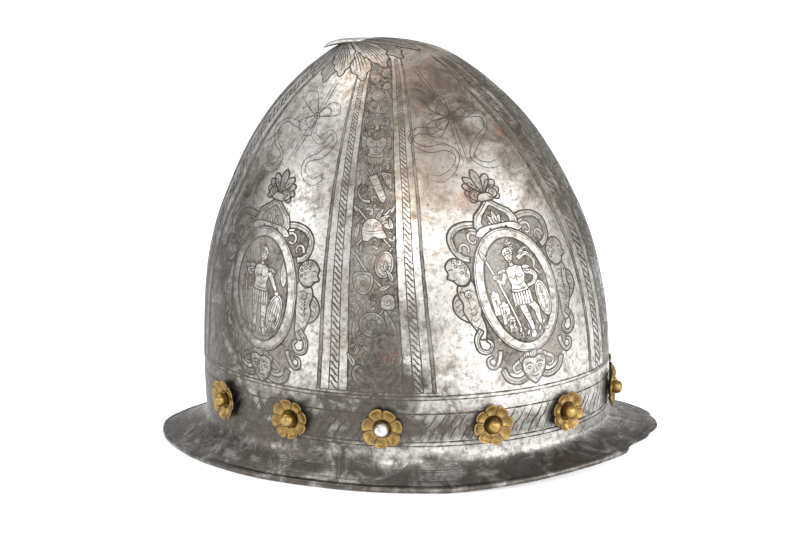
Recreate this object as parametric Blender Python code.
"""A cabasset: a tall almond-shaped steel skull cap drawn up to a short stalk that bends backwards,
with a narrow brim forged in one with it and eleven brass rosettes riveted round its base.

Run it with: blender --background --python part.py
Metres, +Z up, +X to the front of the helmet, +Y to the wearer's left.
The origin is on the surface that the brim stands on, under the middle of the brim.
"""

import math

import bmesh
import bpy
import numpy as np
from mathutils import Vector

# The skull, measured over its outside.
SKULL_LENGTH = 0.238
SKULL_WIDTH = 0.193
HELMET_HEIGHT = 0.2347
WALL = 0.0015

# The brim, forged in one with the skull.
BRIM_ROOT_HEIGHT = 0.0182
BRIM_REACH_ENDS = 0.029
BRIM_REACH_SIDES = 0.0135
BRIM_POINT = 0.14
BRIM_FRONT_LIFT = 0.011
BRIM_LIFT_START_DEG = 75.0
EDGE_BEAD_RADIUS = 0.0016

# The stretch at the front right where the turned edge has broken away, and its ragged start.
CHIP_START_DEG = -25.0
CHIP_END_DEG = 16.0
CHIP_TAPER_DEG = 4.0
CHIP_DEPTH = 0.002

# The stalk, drawn out of the top of the skull and bent backwards.
STALK_LENGTH = 0.034
STALK_WIDTH = 0.012
STALK_DEPTH = 0.0031
STALK_DROP = 0.0052

# The brass rosettes and the rivets through them.
ROSETTE_DIAMETER = 0.0225
ROSETTE_SHEET = 0.0009
ROSETTE_SEAT_RADIUS = 0.0042
ROSETTE_RISE = 0.0016
PETAL_NOTCH = 0.82
PETAL_NOTCH_RISE = 0.55
RIVET_LINE_ABOVE_ROOT = 0.0145
RIVET_LINE_LIFT = 0.0038  # how much higher the line runs at front and back
SHANK_RADIUS = 0.0016
HEAD_RADIUS = 0.0040
HEAD_HEIGHT = 0.0066
TAIL_RADIUS = 0.0032
TAIL_THICKNESS = 0.0011
HOLE_CLEARANCE = 0.0003
SEAT_GAP = 0.0003

# How finely the faceted solids follow the real curves.
AROUND = 48
PETAL_STEPS = 4
RIVET_SIDES = 10
STALK_SIDES = 10

# Sections of the skull from the brim's root up to the apex. height is a share of the way up,
# length and width are shares of the skull's half length and half width, shift moves the section
# to the front as a share of the half length, and crest pinches its two ends to a low ridge.
SKULL_SECTIONS = (
    # height, length, shift, width, crest
    (0.000, 0.994, -0.008, 0.996, 0.00),
    (0.120, 0.999, -0.013, 1.000, 0.00),
    (0.250, 0.992, -0.017, 0.988, 0.02),
    (0.375, 0.968, -0.027, 0.958, 0.04),
    (0.500, 0.915, -0.036, 0.903, 0.06),
    (0.612, 0.832, -0.043, 0.820, 0.08),
    (0.718, 0.732, -0.053, 0.712, 0.10),
    (0.811, 0.615, -0.062, 0.585, 0.12),
    (0.893, 0.471, -0.075, 0.432, 0.14),
    (0.954, 0.325, -0.086, 0.280, 0.16),
    (0.985, 0.210, -0.102, 0.165, 0.18),
    (1.000, 0.000, -0.125, 0.000, 0.18),
)

# Sections of the stalk from its root in the crown to its tip, each a share of the stalk's own
# length, width, depth and drop. drop is how far its top lies below the apex.
STALK_SECTIONS = (
    # along, width, depth, drop
    (-0.10, 0.40, 0.30, 0.04),
    (0.22, 0.80, 0.60, 0.00),
    (0.48, 1.00, 0.95, 0.06),
    (0.70, 0.82, 1.00, 0.18),
    (0.87, 0.52, 0.90, 0.46),
    (1.00, 0.20, 0.50, 1.00),
)

# The brim's upper face. reach is a share of the way out to the edge bead, drop a share of the way
# down from the root to the top of the bead.
BRIM_PROFILE = (
    # reach, drop
    (0.045, 0.19),
    (0.140, 0.37),
    (0.330, 0.58),
    (0.620, 0.80),
    (0.930, 0.97),
)

# The thickened edge of the brim, from its upper side over the rim to its flat foot, in bead radii.
EDGE_BEAD = (
    # outwards, upwards
    (-0.80, 1.86),
    (0.00, 2.00),
    (0.72, 1.62),
    (1.00, 0.95),
    (0.80, 0.28),
    (0.45, 0.00),
    (-0.90, 0.00),
    (-1.15, 0.60),
)

# The domed head of a rivet, as shares of its radius and height.
RIVET_HEAD = (
    # radius, height
    (0.55, 0.92),
    (0.95, 0.66),
    (0.90, 0.00),
)

# Where the hand-set rosettes stand, as azimuths from the front to the wearer's left. The wide gap
# is at the back.
ROSETTE_DEG = (-2.0, 19.0, 49.5, 80.0, 110.5, 140.0, -140.8, -114.2, -88.2, -58.6, -33.8)

# The replaced rivet, and the seven-petalled rosette that it holds, at the middle of the right side.
STEEL_RIVET = 8
PETALS = 8
REPLACED_PETALS = 7

# base colour, metallic, roughness
FINISHES = {
    "etched_steel": ((0.42, 0.40, 0.37), 1.0, 0.42),
    "gilt_brass": ((0.66, 0.47, 0.20), 1.0, 0.38),
    "rivet_brass": ((0.58, 0.42, 0.19), 1.0, 0.40),
    "rivet_steel": ((0.62, 0.61, 0.59), 1.0, 0.45),
}


def clear_scene():
    for obj in list(bpy.data.objects):
        bpy.data.objects.remove(obj, do_unlink=True)


def finish(name):
    """The named finish as a material."""
    material = bpy.data.materials.get(name)
    if material is None:
        colour, metallic, roughness = FINISHES[name]
        material = bpy.data.materials.new(name)
        material.use_nodes = True
        shader = material.node_tree.nodes["Principled BSDF"]
        shader.inputs["Base Color"].default_value = (*colour, 1.0)
        shader.inputs["Metallic"].default_value = metallic
        shader.inputs["Roughness"].default_value = roughness
    return material


def add_object(name, mesh, material_name):
    """A new object for the mesh, shaded smooth with its sharp edges kept."""
    if not mesh.materials:
        mesh.materials.append(finish(material_name))
        mesh.shade_smooth()
        mesh.set_sharp_from_angle(angle=math.radians(40.0))
    obj = bpy.data.objects.new(name, mesh)
    bpy.context.scene.collection.objects.link(obj)
    return obj


def mesh_of(name, corners, faces):
    mesh = bpy.data.meshes.new(name)
    mesh.from_pydata([tuple(corner) for corner in corners], [], faces)
    mesh.update()
    return mesh


def ring_faces(rings, around):
    """Quads between rings of vertices that follow each other, each ring closed on itself."""
    faces = []
    for ring in range(rings - 1):
        for step in range(around):
            following = (step + 1) % around
            low, high = ring * around, (ring + 1) * around
            faces.append((low + step, low + following, high + following, high + step))
    return faces


def facing_out(mesh):
    """Turns every face of a closed mesh outwards."""
    work = bmesh.new()
    work.from_mesh(mesh)
    bmesh.ops.recalc_face_normals(work, faces=work.faces)
    work.to_mesh(mesh)
    work.free()
    return mesh


def apply_modifiers(obj):
    """Makes the object's evaluated mesh its own mesh."""
    graph = bpy.context.evaluated_depsgraph_get()
    graph.update()
    mesh = bpy.data.meshes.new_from_object(obj.evaluated_get(graph))
    obj.modifiers.clear()
    obj.data = mesh


def section_columns():
    """The section table with a distance along the profile, mirrored past the apex for smoothness."""
    rows = np.array(SKULL_SECTIONS)
    rise = HELMET_HEIGHT - BRIM_ROOT_HEIGHT
    steps = np.hypot(np.diff(rows[:, 1]) * SKULL_LENGTH / 2, np.diff(rows[:, 0]) * rise)
    along = np.concatenate([[0.0], np.cumsum(steps)])
    beyond = rows[-2].copy()
    beyond[1] *= -1.0
    beyond[3] *= -1.0
    before = 2.0 * rows[0] - rows[1]
    along = np.concatenate([[-steps[0]], along, [along[-1] + steps[-1]]])
    return along, np.vstack([before, rows, beyond])


PROFILE_ALONG, PROFILE_ROWS = section_columns()
PROFILE_LENGTH = PROFILE_ALONG[-2]


def skull_section(share):
    """height, length, shift, width and crest at a share of the way along the skull's profile."""
    at = min(max(share, 0.0), 1.0) * PROFILE_LENGTH
    k = int(np.clip(np.searchsorted(PROFILE_ALONG, at, side="right") - 1, 1, len(PROFILE_ALONG) - 3))
    start, end = PROFILE_ALONG[k], PROFILE_ALONG[k + 1]
    span = end - start
    low, high = PROFILE_ROWS[k], PROFILE_ROWS[k + 1]
    slope_low = (high - PROFILE_ROWS[k - 1]) / (end - PROFILE_ALONG[k - 1])
    slope_high = (PROFILE_ROWS[k + 2] - low) / (PROFILE_ALONG[k + 2] - start)
    t = (at - start) / span
    return (
        (1 + 2 * t) * (1 - t) ** 2 * low
        + t * (1 - t) ** 2 * span * slope_low
        + t * t * (3 - 2 * t) * high
        + t * t * (t - 1) * span * slope_high
    )


def skull_point(azimuth, share):
    """The outside of the skull, at an azimuth from the front and a share of the way up its profile."""
    height, length, shift, width, crest = skull_section(share)
    sine = math.sin(azimuth)
    across = math.copysign(abs(sine) ** (1.0 + crest), sine)
    return Vector(
        (
            (shift + length * math.cos(azimuth)) * SKULL_LENGTH / 2,
            width * across * SKULL_WIDTH / 2,
            BRIM_ROOT_HEIGHT + height * (HELMET_HEIGHT - BRIM_ROOT_HEIGHT),
        )
    )


def skull_normal(azimuth, share):
    """The outward normal there, from two short steps over the surface."""
    turn, climb = 0.02, 0.004
    low = max(share - climb, 0.0)
    high = min(share + climb, 0.999)
    around = skull_point(azimuth + turn, share) - skull_point(azimuth - turn, share)
    upwards = skull_point(azimuth, high) - skull_point(azimuth, low)
    return around.cross(upwards).normalized()


def share_at_height(height):
    """The share of the way along the profile at which the skull reaches a height."""
    low, high = 0.0, 1.0
    for _ in range(40):
        middle = (low + high) / 2
        if skull_point(0.0, middle).z < height:
            low = middle
        else:
            high = middle
    return (low + high) / 2


def chip_loss(azimuth):
    """1 where the turned edge is gone, 0 where it is whole, with a short taper between."""
    degrees = math.degrees(math.remainder(azimuth, 2 * math.pi))
    inside = min(degrees - CHIP_START_DEG, CHIP_END_DEG - degrees)
    t = min(max(inside / CHIP_TAPER_DEG + 0.5, 0.0), 1.0)
    return t * t * (3 - 2 * t)


def front_lift(azimuth):
    """How far the brim's edge rises from the surface it stands on, towards the front."""
    start = math.cos(math.radians(BRIM_LIFT_START_DEG))
    share = max(math.cos(azimuth) - start, 0.0) / (1 - start)
    return BRIM_FRONT_LIFT * share ** 1.3


def brim_edge(azimuth):
    """The outer edge of the brim in plan, an oval a little pointed at its two ends."""
    sine = math.sin(azimuth)
    across = math.copysign(abs(sine) ** (1.0 + BRIM_POINT), sine)
    return Vector(
        (
            (SKULL_LENGTH / 2 + BRIM_REACH_ENDS) * math.cos(azimuth),
            (SKULL_WIDTH / 2 + BRIM_REACH_SIDES) * across,
            0.0,
        )
    )


def brim_stations(azimuth):
    """Points round the brim's section, from the skull's root over the edge to its underside."""
    root = skull_point(azimuth, 0.0)
    foot_of_root = Vector((root.x, root.y, 0.0))
    loss = chip_loss(azimuth)
    outwards = (brim_edge(azimuth) - foot_of_root).normalized()
    across = (brim_edge(azimuth) - foot_of_root).length - CHIP_DEPTH * loss
    bead = EDGE_BEAD_RADIUS + (WALL / 2 - EDGE_BEAD_RADIUS) * loss
    foot = front_lift(azimuth) + (EDGE_BEAD_RADIUS * 2 - WALL) * loss

    def place(reach, height):
        return foot_of_root + outwards * reach + Vector((0.0, 0.0, height))

    upper = [(0.0, root.z)]
    for reach, drop in BRIM_PROFILE:
        edge_top = foot + 2 * bead
        upper.append((reach * (across - 2 * bead), root.z + (edge_top - root.z) * drop))
    rim = [(across + (out - 1.0) * bead, foot + up * bead) for out, up in EDGE_BEAD]
    lower = []
    for k in range(len(upper) - 1, 0, -1):
        before = upper[k - 1]
        after = upper[min(k + 1, len(upper) - 1)]
        run, rise = after[0] - before[0], after[1] - before[1]
        size = math.hypot(run, rise)
        lower.append((upper[k][0] + rise / size * WALL, upper[k][1] - run / size * WALL))
    return [place(*p) for p in upper[1:]], [place(*p) for p in rim], [place(*p) for p in lower]


def build_skull_with_brim():
    """One forged shell: outside from the apex down, over the brim's edge, and up the inside."""
    azimuths = [2 * math.pi * step / AROUND for step in range(AROUND)]
    heights = [section_height(row) for row in SKULL_SECTIONS[:-1]]
    heights += [(low + high) / 2 for low, high in zip(heights[7:], heights[8:])]
    heights.append(BRIM_ROOT_HEIGHT + RIVET_LINE_ABOVE_ROOT)
    shares = [share_at_height(height) for height in sorted(heights, reverse=True)]
    outer = [[skull_point(a, s) for a in azimuths] for s in shares]
    inner = [[skull_point(a, s) - skull_normal(a, s) * WALL for a in azimuths] for s in shares]
    sections = [brim_stations(a) for a in azimuths]
    upper, rim, lower = (
        [[section[part][k] for section in sections] for k in range(len(sections[0][part]))]
        for part in range(3)
    )
    rings = outer + upper + rim + lower + inner[::-1]
    corners = [point for ring in rings for point in ring]
    faces = ring_faces(len(rings), AROUND)

    apex = skull_point(0.0, 1.0)
    corners += [apex, apex - Vector((0.0, 0.0, WALL))]
    last = (len(rings) - 1) * AROUND
    for step in range(AROUND):
        following = (step + 1) % AROUND
        faces.append((len(corners) - 2, following, step))
        faces.append((len(corners) - 1, last + step, last + following))
    skull = add_object(
        "skull_with_brim", facing_out(mesh_of("skull_with_brim", corners, faces)), "etched_steel"
    )
    combine(skull, "UNION", stalk())
    combine(skull, "DIFFERENCE", rivet_holes())
    return skull


def section_height(row):
    return BRIM_ROOT_HEIGHT + row[0] * (HELMET_HEIGHT - BRIM_ROOT_HEIGHT)


def combine(target, operation, tools):
    """Joins or cuts each tool, one Boolean at a time, and deletes it."""
    for tool in tools:
        boolean = target.modifiers.new(tool.name, "BOOLEAN")
        boolean.operation = operation
        boolean.solver = "EXACT"
        boolean.object = tool
    apply_modifiers(target)
    for tool in tools:
        bpy.data.objects.remove(tool, do_unlink=True)


def stalk():
    """The stalk: oval sections that run back from the apex and bend down to the tip."""
    apex = skull_point(0.0, 1.0)
    corners = []
    for along, width, depth, drop in STALK_SECTIONS:
        half_width = STALK_WIDTH * width / 2
        half_depth = STALK_DEPTH * depth / 2
        middle = apex - Vector((STALK_LENGTH * along, 0.0, STALK_DROP * drop + half_depth))
        for side in range(STALK_SIDES):
            angle = 2 * math.pi * side / STALK_SIDES
            across = Vector((0.0, half_width * math.cos(angle), half_depth * math.sin(angle)))
            corners.append(middle + across)
    faces = ring_faces(len(STALK_SECTIONS), STALK_SIDES)
    last = (len(STALK_SECTIONS) - 1) * STALK_SIDES
    faces.append(tuple(range(STALK_SIDES)))
    faces.append(tuple(last + side for side in range(STALK_SIDES)))
    return [add_object("stalk_tool", facing_out(mesh_of("stalk_tool", corners, faces)), "etched_steel")]


def rosette_seat(index):
    """Where a rosette sits on the skull: the point on the wall and the outward normal."""
    azimuth = math.radians(ROSETTE_DEG[index])
    lift = RIVET_LINE_LIFT * math.cos(azimuth) ** 2
    share = share_at_height(BRIM_ROOT_HEIGHT + RIVET_LINE_ABOVE_ROOT + lift)
    return skull_point(azimuth, share), skull_normal(azimuth, share)


def place_on_skull(obj, index):
    """Puts an object, made standing on its own XY plane, on the wall at a rosette's seat."""
    point, normal = rosette_seat(index)
    obj.location = point
    obj.rotation_mode = "QUATERNION"
    obj.rotation_quaternion = normal.to_track_quat("Z", "Y")
    return obj


def lathe(name, profile, sides):
    """A closed turned solid about Z. The profile starts and ends on the axis."""
    corners = [(0.0, 0.0, profile[0][1])]
    for radius, height in profile[1:-1]:
        for side in range(sides):
            angle = 2 * math.pi * side / sides
            corners.append((radius * math.cos(angle), radius * math.sin(angle), height))
    corners.append((0.0, 0.0, profile[-1][1]))
    rings = len(profile) - 2
    faces = [tuple(corner + 1 for corner in face) for face in ring_faces(rings, sides)]
    last = (rings - 1) * sides + 1
    for side in range(sides):
        following = (side + 1) % sides
        faces.append((0, 1 + following, 1 + side))
        faces.append((len(corners) - 1, last + side, last + following))
    return facing_out(mesh_of(name, corners, faces))


def rivet_holes():
    """A cutter for each rivet's hole through the skull."""
    reach = 4 * WALL
    radius = SHANK_RADIUS + HOLE_CLEARANCE
    profile = ((0.0, -reach), (radius, -reach), (radius, reach), (0.0, reach))
    drill = lathe("hole_tool", profile, RIVET_SIDES)
    holes = []
    for index in range(len(ROSETTE_DEG)):
        holes.append(place_on_skull(add_object(f"hole_tool_{index}", drill, "etched_steel"), index))
    bpy.context.view_layer.update()
    return holes


def rosette_mesh(petals):
    """A disc of sheet brass with a flat seat round its hole and petals cupped away from the wall."""
    around = petals * PETAL_STEPS
    hole, seat, rim = [], [], []
    for step in range(around):
        angle = 2 * math.pi * step / around
        lobe = abs(math.sin(math.pi * step / PETAL_STEPS))
        reach = ROSETTE_DIAMETER / 2 * (PETAL_NOTCH + (1 - PETAL_NOTCH) * lobe ** 0.5)
        cup = ROSETTE_RISE * (PETAL_NOTCH_RISE + (1 - PETAL_NOTCH_RISE) * lobe)
        stations = (
            (hole, SHANK_RADIUS + HOLE_CLEARANCE, 0.0),
            (seat, ROSETTE_SEAT_RADIUS, 0.0),
            (rim, reach, cup),
        )
        for ring, radius, rise in stations:
            ring.append((radius * math.cos(angle), radius * math.sin(angle), SEAT_GAP + rise))
    under = [hole, seat, rim]
    upper = [[(x, y, z + ROSETTE_SHEET) for x, y, z in ring] for ring in under]
    loop = upper + under[::-1]
    corners = [corner for ring in loop for corner in ring]
    faces = []
    for ring in range(len(loop)):
        low, high = ring * around, (ring + 1) % len(loop) * around
        for step in range(around):
            following = (step + 1) % around
            faces.append((low + step, low + following, high + following, high + step))
    return facing_out(mesh_of(f"rosette_{petals}", corners, faces))


def rivet_mesh(name):
    """A tall domed head over the rosette, a shank through the wall and a tail clenched inside."""
    under_head = 2 * SEAT_GAP + ROSETTE_SHEET
    facet_sag = SKULL_LENGTH / 2 * (1 - math.cos(math.pi / AROUND))
    inside = -WALL - SEAT_GAP - facet_sag
    head = [(HEAD_RADIUS * radius, under_head + HEAD_HEIGHT * height) for radius, height in RIVET_HEAD]
    profile = [
        (0.0, under_head + HEAD_HEIGHT),
        *head,
        (SHANK_RADIUS, under_head),
        (SHANK_RADIUS, inside),
        (TAIL_RADIUS, inside),
        (TAIL_RADIUS * 0.8, inside - TAIL_THICKNESS),
        (0.0, inside - TAIL_THICKNESS),
    ]
    return lathe(name, profile, RIVET_SIDES)


def build_rosettes_and_rivets():
    petal_mesh = rosette_mesh(PETALS)
    replaced_mesh = rosette_mesh(REPLACED_PETALS)
    brass_rivet = rivet_mesh("rivet_brass")
    steel_rivet = rivet_mesh("rivet_steel")
    for index in range(len(ROSETTE_DEG)):
        replaced = index == STEEL_RIVET
        rosette = add_object(
            f"rosette_{index + 1:02d}", replaced_mesh if replaced else petal_mesh, "gilt_brass"
        )
        rivet = add_object(
            f"rivet_{index + 1:02d}",
            steel_rivet if replaced else brass_rivet,
            "rivet_steel" if replaced else "rivet_brass",
        )
        place_on_skull(rosette, index)
        place_on_skull(rivet, index)


def centre_on_origin():
    """The broken front edge leaves the middle of the helmet behind the skull's own axis."""
    for obj in bpy.data.objects:
        obj.location.x += CHIP_DEPTH / 2


def main():
    clear_scene()
    build_skull_with_brim()
    build_rosettes_and_rivets()
    centre_on_origin()


main()
